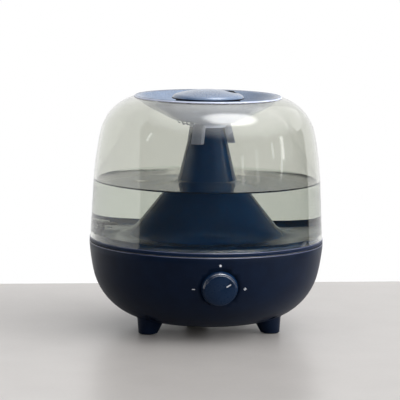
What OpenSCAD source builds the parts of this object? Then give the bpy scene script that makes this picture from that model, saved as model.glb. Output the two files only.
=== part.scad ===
// Top-fill cool mist humidifier: a moulded bowl on three feet, a clear domed tank with a
// trumpet-shaped mist tower, a dished lid with a turning mist cap, and the ultrasonic
// works inside the bowl. +Z is up, -Y is the front, z = 0 is the surface it stands on.

/* [Bowl] */
// Outside radius of the bowl at the seam
body_r = 112.5; // [100:0.5:136]
// Height of the bowl from its underside to the seam
bowl_h = 74.4; // [64:0.1:90]
// Radius of the turn from the bowl's side into its underside
bowl_turn_r = 58.9; // [50:0.1:60]
// Wall of the moulded bowl
bowl_wall = 2.6; // [2:0.1:3.2]
// Height of the bowl's underside above the surface
foot_h = 9.9; // [8:0.1:16]
// How far each foot stands outside the flat of the underside
foot_out = 17.6; // [14:0.1:22]
// Radius of a foot at its bottom
foot_r = 9.3; // [8.5:0.1:11]
// Open line between the bowl and the tank's band
seam_gap = 0.8; // [0.6:0.1:1.2]

/* [Tank] */
// Height of the band round the tank's floor
band_h = 3.6; // [3:0.1:5]
// Wall of the clear tank
tank_wall = 2.8; // [2:0.1:3.4]
// Height of the tank's straight, tapered part
tank_side_h = 52.3; // [40:0.1:70]
// Height of the tank's belly above the straight part
tank_belly_h = 48.4; // [36:0.1:60]
// Outside radius of the rim round the fill opening
rim_r = 71.3; // [64:0.1:78]
// Wall of the tank's floor and tower
floor_wall = 2.6; // [2:0.1:3]
// Radius of the tower at its top
tower_top_r = 16.3; // [15:0.1:19]

/* [Lid] */
// Depth of the lid's dish below the rim
dish_h = 22.8; // [18:0.1:30]
// Wall of the lid
lid_wall = 2.2; // [1.8:0.1:2.6]
// Open height between the tower's top and the lid
tower_gap = 8; // [4:0.1:12]
// Outside radius of the mist cap
cap_r = 34.7; // [33:0.1:42]
// Distance of the nozzle from the cap's centre
nozzle_place_r = 22; // [14:0.5:22]
// Length of the nozzle opening, round the cap
nozzle_l = 14; // [11:0.5:16]
// Width of the nozzle opening, along the cap's radius
nozzle_w = 10; // [6:0.5:10]

/* [Knob] */
// Distance of the knob's middle below the seam
knob_drop = 29.3; // [28:0.1:34]
// Radius of the knob at the bowl
knob_r = 17.2; // [14:0.1:18]
// How much the knob's radius narrows towards its face
knob_taper = 2.5; // [1:0.1:4]
// How far the knob's face stands out of the bowl
knob_out = 4.4; // [3:0.1:7]
// Downward tilt of the knob's axis
knob_tilt = 14; // [8:1:18]

/* [Works] */
// Radius of the ultrasonic disc
disc_r = 10; // [8:0.1:12.5]
// Width of the square fan
fan_w = 60; // [50:1:60]
// Height of the fan's frame
fan_h = 15; // [10:0.5:20]
// Distance of the fan's axis behind the centre
fan_y = 42; // [38:0.5:46]
// Depth of the water tray below its rim
tray_h = 18.8; // [15:0.1:22]
// Wall of the water tray
tray_wall = 2.4; // [2:0.1:3]
// How far the valve and the float stand outside the foot of the tower
valve_out = 9.3; // [9:0.1:14]

/* [Hidden] */
$fn = 72;

// Clearances
fit = 0.3;
press = 0.05;

// Bowl: a side arc of wide radius and a turn into the flat underside
seam_lean = 4.3;
turn_lean = 12;
seam_z = foot_h + bowl_h;
bowl_side_r = (bowl_h - bowl_turn_r * (1 - sin(turn_lean))) / (sin(turn_lean) - sin(seam_lean));
side_c = [body_r - bowl_side_r * cos(seam_lean), seam_z + bowl_side_r * sin(seam_lean)];
turn_c = side_c + (bowl_side_r - bowl_turn_r) * [cos(turn_lean), -sin(turn_lean)];
turn_z = turn_c[1] - bowl_turn_r * sin(turn_lean);
inside_r = body_r - bowl_wall;

// Feet: cones square to the bowl's turn, with a fillet into it, cut level above their pads
foot_angles = [-150, -30, 90];
foot_z = 1;
foot_draft = 16.8;
foot_fillet_r = 3;
foot_place_r = turn_c[0] + foot_out;
foot_lean = atan(foot_out / (turn_c[1] - foot_z));
foot_reach = sqrt(pow(foot_out, 2) + pow(turn_c[1] - foot_z, 2));
foot_offset_r = foot_r * 0.95 + foot_fillet_r / cos(foot_draft);
foot_side_h = foot_reach - foot_offset_r * tan(foot_draft);
foot_fillet_h = cos(foot_draft) * (foot_side_h * cos(foot_draft) - sqrt(
    pow(foot_side_h * cos(foot_draft), 2) - pow(foot_reach, 2) - pow(foot_offset_r, 2)
    + pow(bowl_turn_r + foot_fillet_r, 2)));
foot_fillet_c = [foot_offset_r + foot_fillet_h * tan(foot_draft), foot_fillet_h];
foot_fillet_end = 90 + asin(foot_fillet_c[0] / (bowl_turn_r + foot_fillet_r));
foot_root_h = foot_fillet_h + foot_fillet_r + 3;
pad_r = foot_r - 1.8;
pad_t = 1.1;

// Round cover in the underside
cover_r = turn_c[0] - 7;
cover_plate = 1.5;
cover_step = 5.5;
cover_screw_r = cover_r - 2.4;
cover_screw_angles = [30, 150, 270];

// Tray: rim on the bowl's ledge, walls, floor
band_z = seam_z + seam_gap;
tray_rim_z = band_z - fit;
tray_rim_t = 3;
ledge_z = tray_rim_z - tray_rim_t;
tray_rim_r = inside_r - 0.6;
basin_r = tray_rim_r - 12.2;
tray_floor_z = tray_rim_z - tray_h;
tray_under_z = tray_floor_z - tray_wall;
post_place_r = basin_r - 17.1;
post_angles = [45, 135, 225, 315];
post_r = 5;
post_z = turn_h(post_place_r + post_r, bowl_wall) + 1.5;

// Mist maker
disc_y = -22;
disc_t = 1.2;
seal_r = disc_r + 2.4;
seal_h = 3.4;
seal_z = tray_under_z - seal_h;
clamp_r = seal_r + 5.2;
clamp_t = 2.6;
clamp_screw_r = seal_r + 2.7;
clamp_angles = [30, 150, 270];

// Fan
fan_boss_h = 6;
fan_top_z = tray_under_z - fan_boss_h;
fan_z = fan_top_z - fan_h;
fan_bore_r = fan_w / 2 - 1.8;
fan_hole = fan_w / 2 - 5;
hub_r = fan_w / 4;
blades = 7;
chimney = [44, 24];
chimney_z = tray_rim_z - 2;
duct_t = 1.8;
duct_out = chimney + 2 * duct_t * [1, 1];

// Driver board under the tray
board = [80, 38, 1.6];
board_y = -65;
board_z = tray_under_z - 14 - board[2];
board_hole = [34, 15];

// Knob, its seat and the potentiometer, measured along the knob's axis
knob_z = seam_z - knob_drop;
knob_face_r = knob_r - knob_taper;
knob_sink = 2.4;
seat_r = knob_r + 0.4;
seat_back = knob_sink + bowl_wall;
pot_w = 10;
pot_h = 7;
bush_r = 3.5;
shaft_r = 3;
knob_back = knob_sink - 0.6;
pointer = [5, 1.3];
pointer_r = 9.2;
pointer_turn = -57;

// Indicator
lens_z = seam_z - 7;
lens_r = 1.1;

// Mains adaptor inlet at the back
jack_z = 34;
jack_well_r = 8.5;
jack_y = bowl_r(jack_z, 0) - 9;
jack_bore_r = 2.8;
jack_l = 10;

// Float and valve
float_angle = 190;
valve_angle = 140;
float_r = 10.5;
float_post_r = 3.6;
float_travel = 5;
float_cap_t = 1.4;
float_room = 1.9;
float_z = tray_floor_z + 2.5;
float_top_z = band_z + band_h - floor_wall - float_room - float_cap_t;
float_h = float_top_z - fit - float_travel - float_z;
magnet_h = float_h * 0.42;
push_r = 3;

// Tank: straight taper, belly arc, crown arc
tank_z = band_z + band_h;
tank_floor_z = tank_z + floor_wall;
tank_r = body_r - 0.8;
band_r = body_r - 0.3;
band_in_r = band_r - 7.2;
tank_lean = 2.85;
belly_lean = 11.8;
crown_lean = 74.4;
belly_r = tank_belly_h / (sin(belly_lean) - sin(tank_lean));
belly_p = [tank_r - tank_side_h * tan(tank_lean), tank_z + tank_side_h];
belly_c = belly_p - belly_r * [cos(tank_lean), sin(tank_lean)];
crown_p = belly_c + belly_r * [cos(belly_lean), sin(belly_lean)];
crown_r = (crown_p[0] - rim_r) / (cos(belly_lean) - cos(crown_lean));
crown_c = crown_p - crown_r * [cos(belly_lean), sin(belly_lean)];
rim_z = crown_c[1] + crown_r * sin(crown_lean);
rim_in_z = rim_z - tank_wall * sin(crown_lean);
mouth_r = rim_r - 3.1;
lip_r = tank_r - tank_wall - fit;

// Tower: upper cone, bend, lower cone, foot fillet
tower_z = rim_z + fit - dish_h - tower_gap;
tower_lean = 13.5;
flare_lean = 30.3;
bend_r = 73.8;
flare_h = 34.7;
floor_fillet_r = 22;
bend_top_z = tank_floor_z + flare_h + bend_r * (sin(flare_lean) - sin(tower_lean));
bend_top_r = tower_top_r + (tower_z - bend_top_z) * tan(tower_lean);
bend_c = [bend_top_r, bend_top_z] + bend_r * [cos(tower_lean), sin(tower_lean)];
flare_r = bend_c[0] - bend_r * cos(flare_lean);
fillet_z = tank_floor_z + floor_fillet_r * (1 - sin(flare_lean));
fillet_start_r = flare_r + (tank_floor_z + flare_h - fillet_z) * tan(flare_lean);
fillet_c = [fillet_start_r + floor_fillet_r * cos(flare_lean), tank_floor_z + floor_fillet_r];
valve_place_r = fillet_c[0] + valve_out;

// Valve in the tank's floor, held up by the tray's pin while the tank is on its base
valve_hole_r = 6.5;
stem_r = 1.8;
guide_r = 3.6;
valve_open = 3;
seal_disc_r = 9.3;
clip_r = 5.4;
clip_t = 1.4;
clip_z = tank_z - floor_wall - 8.4;
pin_z = clip_z - fit;
seal_t = 1.8;
stem_l = tank_floor_z + valve_open + seal_t + 0.1 - clip_z;

// Lid: dish arc from the mouth down to the mist hole
lid_z = rim_z + fit;
lid_r = rim_r - 1.5;
lip_t = 1.3;
dish_r = mouth_r - 0.5;
dish_edge_z = rim_z - 1.2;
dish_low_lean = 12.3;
dish_low_r = 20;
dish_low_z = lid_z - dish_h;
dish_slope = atan((dish_edge_z - dish_low_z) / (dish_r - dish_low_r));
dish_top_lean = 2 * dish_slope - dish_low_lean;
dish_arc_r = (dish_r - dish_low_r) / (sin(dish_top_lean) - sin(dish_low_lean));
dish_c = [dish_low_r - dish_arc_r * sin(dish_low_lean), dish_low_z + dish_arc_r * cos(dish_low_lean)];
neck_in_r = cap_r - 5.3;
neck_r = neck_in_r + 1.6;
spigot_r = tower_top_r - floor_wall / cos(tower_lean) - 1;
mist_r = spigot_r - 1.6;
spigot_z = tower_z - 4;
lug_angles = [-122, -2, 118];
lug_w = 10.5;
lug_t = 6.6;
lug_z = tower_z - 13;
lug_low_r = tower_r(lug_z) + 0.7;
lug_high_r = tower_r(dish_low_z + 1) + 0.7;
slot_r = [neck_r + 0.8, neck_r + 4.4];

// Mist cap: rounded edge and a shallow crown
cap_z = rim_z - 1.2;
cap_edge_r = 6;
cap_edge_from = 15;
cap_edge_lean = 74;
cap_wall = 2;
cap_edge_c = [cap_r - cap_edge_r * cos(cap_edge_from), cap_z - cap_edge_r * sin(cap_edge_from)];
cap_top_r = cap_edge_c[0] / sin(90 - cap_edge_lean) + cap_edge_r;
cap_top_c = cap_edge_c + (cap_edge_r - cap_top_r) * [cos(cap_edge_lean), sin(cap_edge_lean)];
nozzle_angle = 5;
nozzle_run = nozzle_l - nozzle_w;
core_t = 1.2;
core_r = cap_edge_c[0] - press + sqrt(
    pow(cap_edge_r - cap_wall, 2) - pow(cap_z + core_t - cap_edge_c[1], 2));
neck_top_z = cap_z - fit;

// ---- Functions ----

// Points on an arc about c, from angle a0 to a1
function arc(c, r, a0, a1, n = 10) =
    [for (i = [0:n]) c + r * [cos(a0 + (a1 - a0) * i / n), sin(a0 + (a1 - a0) * i / n)]];

// The list back to front
function back(list) = [for (i = [len(list) - 1:-1:0]) list[i]];

// Bowl outline from the seam down to the flat underside, moved inward by d
function bowl_line(d) = concat(
    arc(side_c, bowl_side_r - d, -seam_lean, -turn_lean, 4),
    arc(turn_c, bowl_turn_r - d, -turn_lean, -90, 14)
);

// Radius of the bowl at height z, moved inward by d
function bowl_r(z, d) = z > turn_z
    ? side_c[0] + sqrt(pow(bowl_side_r - d, 2) - pow(z - side_c[1], 2))
    : turn_c[0] + sqrt(pow(bowl_turn_r - d, 2) - pow(z - turn_c[1], 2));

// Height of the bowl's turn at radius r, moved inward by d
function turn_h(r, d) = turn_c[1] - sqrt(pow(bowl_turn_r - d, 2) - pow(r - turn_c[0], 2));

// Tank outline from its foot up to the rim, moved inward by d
function tank_line(d) = concat(
    [[tank_r - d / cos(tank_lean), tank_z]],
    arc(belly_c, belly_r - d, tank_lean, belly_lean, 5),
    arc(crown_c, crown_r - d, belly_lean, crown_lean, 12)
);

// Tower outline from its top down to the floor, moved inward by d
function tower_line(d) = concat(
    [[tower_r(tower_z) - d / cos(tower_lean), tower_z]],
    arc(bend_c, bend_r + d, 180 + tower_lean, 180 + flare_lean, 5),
    arc(fillet_c, floor_fillet_r + d, 180 + flare_lean, 270, 8)
);

// Radius of the tower's upper cone at height z
function tower_r(z) = tower_top_r + (tower_z - z) * tan(tower_lean);

// Dish outline from the mist hole's edge out to the mouth, moved up by d
function dish_line(d) = arc(dish_c, dish_arc_r - d, dish_low_lean - 90, dish_top_lean - 90, 10);

// Angle on the cap's edge at the height of its foot, on the outline moved inward by d
function cap_from(d) = asin((cap_z - cap_edge_c[1]) / (cap_edge_r - d));

// Cap outline from its foot to its centre, moved inward by d
function cap_line(d) = concat(
    arc(cap_edge_c, cap_edge_r - d, cap_from(d), cap_edge_lean, 6),
    arc(cap_top_c, cap_top_r - d, cap_edge_lean, 90, 8)
);

// ---- Helpers ----

module revolve(points) { rotate_extrude() polygon(points); }

module tube(outer, inner, h) {
    difference() {
        cylinder(r = outer, h = h);
        translate([0, 0, -1]) cylinder(r = inner, h = h + 2);
    }
}

// Children at each angle, r from the centre
module around(angles, r) { for (a = angles) rotate([0, 0, a]) translate([r, 0, 0]) children(); }

// Children in the knob's frame: origin on the bowl, +Z outward along the tilted axis
module at_knob() {
    translate([0, -bowl_r(knob_z, 0), knob_z]) rotate([90 + knob_tilt, 0, 0]) children();
}

// Children in the inlet's frame: origin on the well's floor, +Z outward to the back
module at_jack() { translate([0, jack_y, jack_z]) rotate([-90, 0, 0]) children(); }

// Children at each angle about the mist maker
module around_disc(angles, r) { translate([0, disc_y, 0]) around(angles, r) children(); }

module at_float() { around([float_angle], valve_place_r) children(); }

module at_valve() { around([valve_angle], valve_place_r) children(); }

// Screw with its head's top at z = 0 and its shank going up, cross-slotted from below
module screw(head_r, head_h, shank_r, length) {
    difference() {
        cylinder(r = head_r, h = head_h);
        for (a = [0, 90]) rotate([0, 0, a])
            translate([-head_r * 0.6, -head_r * 0.12, -0.1])
                cube([head_r * 1.2, head_r * 0.24, head_h * 0.5]);
    }
    translate([0, 0, head_h]) cylinder(r = shank_r, h = length);
}

// Four places of the fan's corner holes
module at_fan_corners() {
    for (x = [-1, 1], y = [-1, 1]) translate([x * fan_hole, fan_y + y * fan_hole, 0]) children();
}

// Four places of the board's holes
module at_board_corners() {
    for (x = [-1, 1], y = [-1, 1])
        translate([x * board_hole[0], board_y + y * board_hole[1], 0]) children();
}

// ---- Bowl ----

// Solid of revolution about the foot's own axis, which runs through the turn's centre
module foot() {
    difference() {
        translate([foot_place_r, 0, foot_z]) rotate([0, -foot_lean, 0]) revolve(concat(
            [[0, -4], [foot_r * 0.95 - 4 * tan(foot_draft), -4]],
            arc(foot_fillet_c, foot_fillet_r, 180 - foot_draft, foot_fillet_end, 6),
            [[foot_fillet_c[0] - 1, foot_root_h], [0, foot_root_h]]
        ));
        translate([foot_place_r, 0, foot_z - 20]) cylinder(r = 40, h = 20);
    }
}

// Bowl filled up to the height top, moved inward by d
module bowl_solid(d, top) {
    revolve(concat([[0, top], [bowl_line(d)[0][0], top]], bowl_line(d), [[0, foot_h + d]]));
}

module base_shell() color([0.09, 0.1, 0.17]) {
    difference() {
        union() {
            bowl_solid(0, seam_z);
            around(foot_angles, 0) foot();
        }
        difference() {
            bowl_solid(bowl_wall, seam_z + 1);
            // Flat seat behind the knob
            at_knob() translate([0, 0, -seat_back]) cylinder(r = seat_r + 2, h = 20);
            // Well of the inlet
            at_jack() translate([0, 0, -bowl_wall]) cylinder(r = jack_well_r + 2.2, h = 30);
            // Bosses for the tray's screws and the cover's screws
            around(post_angles, post_place_r) cylinder(r = 6, h = post_z - 0.2);
            around(cover_screw_angles, cover_screw_r) cylinder(r = 3.6, h = foot_h + 9);
            // Ledge that carries the tray
            revolve([
                [tray_rim_r - 3, ledge_z], [body_r, ledge_z],
                [body_r, ledge_z - 2.2], [tray_rim_r - 3, ledge_z - 1.6]
            ]);
        }
        at_knob() translate([0, 0, -knob_sink]) cylinder(r = seat_r, h = 20);
        at_knob() translate([0, 0, -30]) cylinder(r = bush_r + press, h = 40);
        at_jack() cylinder(r = jack_well_r, h = 40);
        at_jack() translate([0, 0, -20]) cylinder(r = 4.2, h = 30);
        translate([0, -body_r + 8, lens_z]) rotate([90, 0, 0]) cylinder(r = lens_r + press, h = 20);
        around(foot_angles, foot_place_r) cylinder(r = pad_r + 0.1, h = foot_z + pad_t);
        around(post_angles, post_place_r) {
            cylinder(r = 3.6, h = post_z - 3);
            cylinder(r = 1.8, h = post_z + 5);
        }
        translate([0, 0, foot_h - 1]) cylinder(r = cover_r + fit, h = cover_plate + 1);
        translate([0, 0, foot_h]) cylinder(r = cover_r - cover_step, h = 20);
        around(cover_screw_angles, cover_screw_r) cylinder(r = 1.3, h = foot_h + 7);
        // Chamfer along the seam
        revolve([
            [body_r - 0.5, seam_z], [body_r - 0.5, seam_z + 1],
            [body_r + 1, seam_z + 1], [body_r + 1, seam_z - 1.5]
        ]);
    }
}

module foot_pads() color([0.06, 0.06, 0.07]) {
    around(foot_angles, foot_place_r) {
        cylinder(r1 = pad_r - 0.5, r2 = pad_r, h = 0.8);
        translate([0, 0, 0.8]) cylinder(r = pad_r, h = foot_z + pad_t - 0.8);
    }
}

module bottom_cover() color([0.08, 0.085, 0.11]) {
    plug_r = cover_r - cover_step - fit;
    rings = 5;
    pitch = (plug_r - 12) / rings;
    translate([0, 0, foot_h]) difference() {
        union() {
            cylinder(r = cover_r, h = cover_plate);
            cylinder(r = plug_r, h = cover_plate + 2);
        }
        around(cover_screw_angles, cover_screw_r) translate([0, 0, -1]) {
            cylinder(r = 1.5, h = 10);
            cylinder(r = 2.3, h = 1.9);
        }
        for (i = [0:rings - 1]) difference() {
            translate([0, 0, -1]) tube(10 + (i + 1) * pitch, 10 + i * pitch + 2.2, 10);
            for (a = [0:45:135]) rotate([0, 0, a])
                translate([-cover_r, -1.4, -2]) cube([2 * cover_r, 2.8, 12]);
        }
    }
}

module cover_screws() color([0.75, 0.75, 0.78]) {
    around(cover_screw_angles, cover_screw_r) translate([0, 0, foot_h]) screw(2.2, 0.9, 1.25, 6);
}

// ---- Water tray ----

module base_tray() color([0.83, 0.84, 0.86]) {
    difference() {
        union() {
            difference() {
                revolve([
                    [0, tray_under_z], [basin_r + tray_wall, tray_under_z], [basin_r + tray_wall, ledge_z],
                    [tray_rim_r, ledge_z], [tray_rim_r, tray_rim_z], [0, tray_rim_z]
                ]);
                translate([0, 0, tray_floor_z]) cylinder(r = basin_r, h = 40);
            }
            // Lip that centres the tank's band
            translate([0, 0, tray_rim_z - 1]) tube(band_in_r - 0.6, band_in_r - 2.8, 3);
            // Raised ring over the mist maker
            translate([0, disc_y, tray_under_z]) cylinder(r = clamp_r + 1, h = tray_wall + 4);
            // Float post and the pin that lifts the tank's valve
            at_float() translate([0, 0, tray_floor_z - 1]) {
                cylinder(r = float_post_r, h = 1 + float_top_z - tray_floor_z);
                cylinder(r = 6, h = 1 + float_z - fit - tray_floor_z);
            }
            at_valve() translate([0, 0, tray_floor_z - 1]) {
                cylinder(r = push_r, h = 1 + pin_z - tray_floor_z);
                cylinder(r1 = 7, r2 = push_r, h = 6);
            }
            // Screw posts and board bosses
            around(post_angles, post_place_r) translate([0, 0, post_z])
                cylinder(r = post_r, h = tray_under_z - post_z + 1);
            at_board_corners() translate([0, 0, board_z + board[2]])
                cylinder(r = 3.4, h = tray_under_z - board_z);
        }
        // Window for the air duct
        translate([0, fan_y, tray_under_z])
            cube([duct_out[0] + 2 * press, duct_out[1] + 2 * press, 20], center = true);
        translate([0, disc_y, tray_under_z - 1]) cylinder(r = disc_r - 1.6, h = 20);
        around_disc(clamp_angles, clamp_screw_r) translate([0, 0, tray_under_z - 1])
            cylinder(r = 1.3, h = 6);
        around(post_angles, post_place_r) translate([0, 0, post_z - 1]) cylinder(r = 1.45, h = 16);
        at_board_corners() translate([0, 0, board_z]) cylinder(r = 1.3, h = 10);
        at_float() translate([0, 0, tray_under_z - 1]) cylinder(r = 1.9, h = tray_wall + 11);
    }
}

// Chimney up through the tray, with a plate, a collar and four bosses for the fan below
module air_duct() color([0.83, 0.84, 0.86]) {
    plate_z = tray_under_z - press - duct_t;
    run = plate_z - fan_top_z;
    difference() {
        union() {
            translate([0, fan_y, plate_z + duct_t / 2]) cube([fan_w, fan_w, duct_t], center = true);
            translate([0, fan_y, (plate_z + chimney_z) / 2])
                cube([duct_out[0], duct_out[1], chimney_z - plate_z], center = true);
            translate([0, fan_y, fan_top_z + fit]) tube(fan_bore_r + 1.4, fan_bore_r - 0.4, run);
            at_fan_corners() translate([0, 0, fan_top_z]) cylinder(r = 3.8, h = run + 1);
        }
        translate([0, fan_y, plate_z]) cube([chimney[0], chimney[1], 80], center = true);
        at_fan_corners() translate([0, 0, fan_top_z - 1]) cylinder(r = 1.45, h = run + 1.4);
    }
}

module tray_screws() color([0.75, 0.75, 0.78]) {
    around(post_angles, post_place_r) translate([0, 0, post_z - 5.6]) screw(3.3, 2.5, 1.4, 15);
}

// ---- Mist maker ----

module transducer_disc() color([0.86, 0.8, 0.6]) {
    translate([0, disc_y, seal_z + (seal_h - disc_t) / 2]) {
        cylinder(r = disc_r, h = disc_t);
        translate([0, 0, -0.4]) cylinder(r = disc_r - 3, h = 0.5);
    }
}

module transducer_seal() color([0.12, 0.12, 0.13]) {
    groove = disc_t + 0.1;
    translate([0, disc_y, seal_z]) difference() {
        tube(seal_r, disc_r - 1.6, seal_h);
        translate([0, 0, (seal_h - groove) / 2]) cylinder(r = disc_r + 0.1, h = groove);
    }
}

module transducer_clamp() color([0.8, 0.8, 0.82]) {
    difference() {
        translate([0, disc_y, seal_z - clamp_t]) cylinder(r = clamp_r, h = clamp_t + seal_h);
        translate([0, disc_y, seal_z]) cylinder(r = seal_r + 0.1, h = 10);
        translate([0, disc_y, 0]) cylinder(r = disc_r - 2.2, h = 90);
        around_disc(clamp_angles, clamp_screw_r) cylinder(r = 1.5, h = 90);
    }
}

module clamp_screws() color([0.75, 0.75, 0.78]) {
    around_disc(clamp_angles, clamp_screw_r)
        translate([0, 0, seal_z - clamp_t - 1.6]) screw(2.4, 1.6, 1.25, 9.5);
}

// ---- Driver board ----

module driver_board() color([0.1, 0.35, 0.2]) {
    translate([-board[0] / 2, board_y - board[1] / 2, board_z]) difference() {
        cube(board);
        for (x = [-1, 1], y = [-1, 1])
            translate([board[0] / 2 + x * board_hole[0], board[1] / 2 + y * board_hole[1], -1])
                cylinder(r = 1.6, h = 5);
    }
}

module board_parts() color([0.15, 0.15, 0.17]) {
    translate([-24, board_y + 8, board_z - 16]) cylinder(r = 5, h = 16);
    translate([-24, board_y - 6, board_z - 12]) cylinder(r = 4, h = 12);
    translate([-6, board_y + 6, board_z - 9]) tube(7, 2.6, 9);
    translate([-10, board_y - 13, board_z - 4]) cube([12, 8, 4]);
    for (x = [12, 22]) translate([x, board_y - 18, board_z - 6]) cube([8, 6, 6]);
}

module heat_sink() color([0.7, 0.71, 0.73]) {
    size = [22, 16, 3];
    fin = 1.4;
    translate([8, board_y - 4, board_z - size[2]]) {
        cube(size);
        for (i = [0:5]) translate([i * (size[0] - fin) / 5, 0, -9]) cube([fin, size[1], 9.5]);
    }
}

module board_screws() color([0.75, 0.75, 0.78]) {
    at_board_corners() translate([0, 0, board_z - 1.6]) screw(2.6, 1.6, 1.25, 8);
}

// ---- Fan ----

module fan_frame() color([0.12, 0.12, 0.13]) {
    difference() {
        union() {
            difference() {
                translate([-fan_w / 2, fan_y - fan_w / 2, fan_z]) cube([fan_w, fan_w, fan_h]);
                translate([0, fan_y, fan_z - 1]) cylinder(r = fan_bore_r, h = fan_h + 2);
            }
            // Motor plate and its four struts, on the outlet side
            translate([0, fan_y, fan_top_z - 2]) cylinder(r = hub_r, h = 2);
            for (a = [0:90:270]) translate([0, fan_y, fan_top_z - 2]) rotate([0, 0, a + 20])
                translate([hub_r - 1, -1.2, 0]) cube([fan_bore_r - hub_r + 2, 2.4, 2]);
            translate([0, fan_y, fan_z + 6]) tube(4, 1.55, fan_h - 7);
        }
        at_fan_corners() cylinder(r = 2.1, h = 90);
    }
}

// One blade along +X: a strip of a thin pipe whose axis is radial, set at the blade's pitch
module fan_blade(reach, chord) {
    camber_r = 14;
    thick = 1.2;
    rotate([38, 0, 0]) intersection() {
        translate([0, -chord / 2, -camber_r]) cube([reach, chord, 2 * camber_r]);
        translate([0, 0, -camber_r + 0.8]) rotate([0, 90, 0])
            tube(camber_r + thick / 2, camber_r - thick / 2, reach);
    }
}

module fan_impeller() color([0.16, 0.16, 0.18]) {
    cup_h = fan_h - 4;
    translate([0, fan_y, fan_z + 1]) {
        difference() {
            cylinder(r = hub_r - 0.5, h = cup_h);
            translate([0, 0, 2]) cylinder(r = hub_r - 2.2, h = cup_h);
        }
        cylinder(r = 1.5, h = cup_h);
        intersection() {
            tube(fan_bore_r - 1, hub_r - 1.2, cup_h);
            around([for (a = [0:blades - 1]) a * 360 / blades], 0)
                translate([hub_r - 4, 0, cup_h / 2]) fan_blade(fan_bore_r - hub_r + 5, cup_h * 1.15);
        }
    }
}

module fan_screws() color([0.75, 0.75, 0.78]) {
    at_fan_corners() translate([0, 0, fan_z - 2]) screw(3, 2, 1.4, fan_h + 4);
}

// ---- Inlet ----

module power_jack() color([0.1, 0.1, 0.11]) {
    at_jack() difference() {
        union() {
            cylinder(r = 5.6, h = 1.2);
            translate([0, 0, -jack_l - 2]) cylinder(r = 4.1, h = jack_l + 3);
            translate([-4.5, -5, -jack_l - 6]) cube([9, 10, 4.5]);
        }
        difference() {
            translate([0, 0, 1.2 - jack_l]) cylinder(r = jack_bore_r, h = jack_l + 1);
            translate([0, 0, -jack_l]) cylinder(r = 1, h = jack_l);
        }
    }
}

module jack_nut() color([0.75, 0.75, 0.78]) {
    at_jack() translate([0, 0, -bowl_wall - 2.1]) difference() {
        cylinder(r = 6.6, h = 2.1, $fn = 6);
        translate([0, 0, -1]) cylinder(r = 4.15, h = 5);
    }
}

// ---- Knob ----

module potentiometer() color([0.2, 0.35, 0.25]) {
    at_knob() difference() {
        union() {
            translate([-pot_w / 2, -pot_w / 2, -seat_back - pot_h]) cube([pot_w, pot_w, pot_h]);
            translate([0, 0, -seat_back - 1]) cylinder(r = bush_r, h = seat_back + 0.6);
            for (x = [-4, 0, 4]) translate([x - 0.5, -pot_w / 2 - 3, -seat_back - pot_h]) cube([1, 4, 1]);
        }
        translate([0, 0, -seat_back - 5]) cylinder(r = shaft_r - 0.45, h = 20);
    }
}

module pot_nut() color([0.75, 0.75, 0.78]) {
    at_knob() translate([0, 0, -knob_sink + 0.1]) difference() {
        cylinder(r = 5.4, h = 2, $fn = 6);
        translate([0, 0, -1]) cylinder(r = bush_r + press, h = 5);
    }
}

module pot_shaft() color([0.8, 0.8, 0.82]) {
    at_knob() translate([0, 0, -seat_back - 4.5])
        cylinder(r = shaft_r - 0.5, h = seat_back + 4.5 + knob_out - 2.4);
}

// Corner of the pointer's slot in the knob's face, moved inward by d
module at_pointer(d) {
    rotate([0, 0, pointer_turn])
        translate([d - pointer[1] / 2, pointer_r - pointer[0] / 2 + d, knob_out - 0.6 + d]) children();
}

module control_knob() color([0.1, 0.16, 0.29]) {
    edge = 0.8;
    at_knob() difference() {
        revolve([
            [0, -knob_back], [knob_r, -knob_back], [knob_r, 1 - knob_back], [knob_r - 0.3, 1.8 - knob_back],
            [knob_face_r + 1, knob_out - 1.1], [knob_face_r + 0.5, knob_out - 1.3],
            [knob_face_r + 0.2, knob_out - edge / 2], [knob_face_r - edge / 2, knob_out], [0, knob_out]
        ]);
        difference() {
            translate([0, 0, -knob_back - 1]) cylinder(r = knob_face_r - 2, h = knob_back + knob_out - 1);
            cylinder(r = 5, h = 20);
            for (a = [0:60:300]) rotate([0, 0, a])
                translate([0, -0.6, 2 - knob_back]) cube([knob_r, 1.2, 20]);
        }
        translate([0, 0, -1]) cylinder(r = shaft_r - 0.45, h = knob_out - 1.2);
        at_pointer(0) cube([pointer[1], pointer[0], 2]);
    }
}

module knob_pointer() color([0.93, 0.93, 0.95]) {
    at_knob() at_pointer(press) cube([pointer[1] - 2 * press, pointer[0] - 2 * press, 0.6]);
}

module indicator_lens() color([0.95, 0.95, 0.95]) {
    translate([0, -bowl_r(lens_z, 0) + 4, lens_z]) rotate([90, 0, 0]) {
        cylinder(r = lens_r, h = 4.2);
        cylinder(r = 1.8, h = 4 - bowl_wall - 0.2);
    }
}

module indicator_led() color([0.9, 0.95, 0.9]) {
    translate([0, -bowl_r(lens_z, 0) + 4, lens_z]) rotate([-90, 0, 0]) {
        cylinder(r = 1.5, h = 3);
        translate([0, 0, 3]) cylinder(r = 1.9, h = 1);
        for (x = [-0.7, 0.7]) translate([x, 0, 3.5]) cylinder(r = 0.25, h = 3);
    }
}

// ---- Float ----

module float_body() color([0.93, 0.93, 0.93]) {
    at_float() translate([0, 0, float_z]) difference() {
        tube(float_r, float_post_r + 0.5, float_h);
        translate([0, 0, 2]) tube(7.6, float_post_r + 1.6, magnet_h + 0.2);
    }
}

module float_magnet() color([0.3, 0.3, 0.32]) {
    at_float() translate([0, 0, float_z + 2.1]) tube(7.5, float_post_r + 1.7, magnet_h);
}

module float_cap() color([0.93, 0.93, 0.93]) {
    at_float() translate([0, 0, float_top_z]) cylinder(r = 6.2, h = float_cap_t);
}

module reed_switch() color([0.7, 0.85, 0.75]) {
    at_float() translate([0, 0, tray_under_z - 3]) {
        cylinder(r = 1.2, h = 13.5);
        translate([0, 0, -1.2]) cylinder(r = 3, h = 1.2);
    }
}

// ---- Tank ----

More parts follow.
